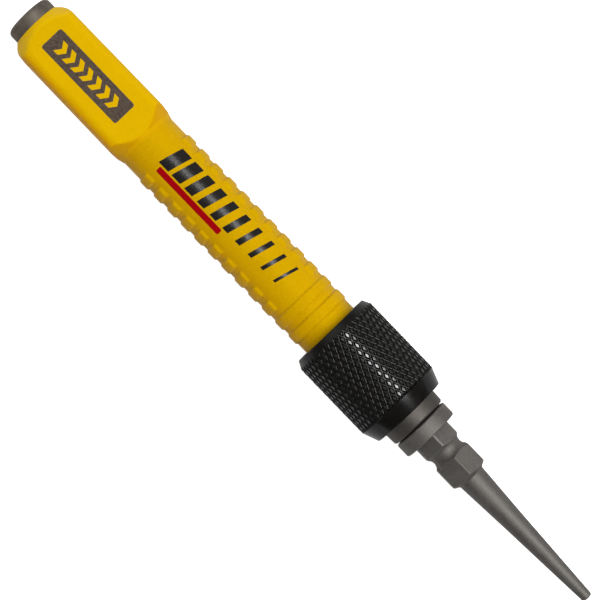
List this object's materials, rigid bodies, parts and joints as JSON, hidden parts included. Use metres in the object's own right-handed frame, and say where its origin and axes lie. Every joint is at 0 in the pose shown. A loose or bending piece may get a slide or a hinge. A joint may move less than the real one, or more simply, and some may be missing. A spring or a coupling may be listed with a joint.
{
  "type": "quick-release nail punch",
  "caption": "Hand punch with a moulded square-headed handle, a spring-loaded knurled collar and a reversible double-ended hex bit.",
  "frame": {"origin": "centre of the flat face of the working tip, on the tool's axis", "axes": "+X along the tool's axis from the working tip to the struck end, +Z out of the badge side of the square head"},
  "size_m": [0.1543, 0.0184, 0.0184],
  "materials": {
    "bar_steel": "satin dark steel bar, machined end",
    "blasted_steel": "matt bead-blasted tool steel",
    "black_oxide": "black oxide steel, knurled, satin to glossy",
    "spring_steel": "bright drawn wire",
    "yellow_plastic": "semi-gloss moulded plastic with a fine grain"
  },
  "bodies": {
    "handle": {"core": "bar_steel", "grip": "yellow_plastic", "nose_ring": "blasted_steel", "nose_snap_ring": "spring_steel", "lock_ring": "spring_steel", "spring_seat_washer": "spring_steel", "collar_spring": "spring_steel"},
    "collar_carrier": {"thrust_washer": "spring_steel"},
    "collar": {"collar_shell": "black_oxide", "collar_bush": "blasted_steel"},
    "bit": {"punch_bit": "blasted_steel"}
  },
  "joints": [
    {"name": "collar_slide", "type": "slide", "parent": "handle", "child": "collar_carrier", "axis": [1, 0, 0], "range_m": [0, 0.0023], "stiffness_N_per_m": 300, "deforming": ["collar_spring"]},
    {"name": "collar_spin", "type": "hinge", "parent": "collar_carrier", "child": "collar", "pos_m": [0.06, 0, 0], "axis": [1, 0, 0], "continuous": true},
    {"name": "bit_slide", "type": "slide", "parent": "handle", "child": "bit", "axis": [-1, 0, 0], "range_m": [0, 0.055], "deforming": ["lock_ring"]}
  ]
}
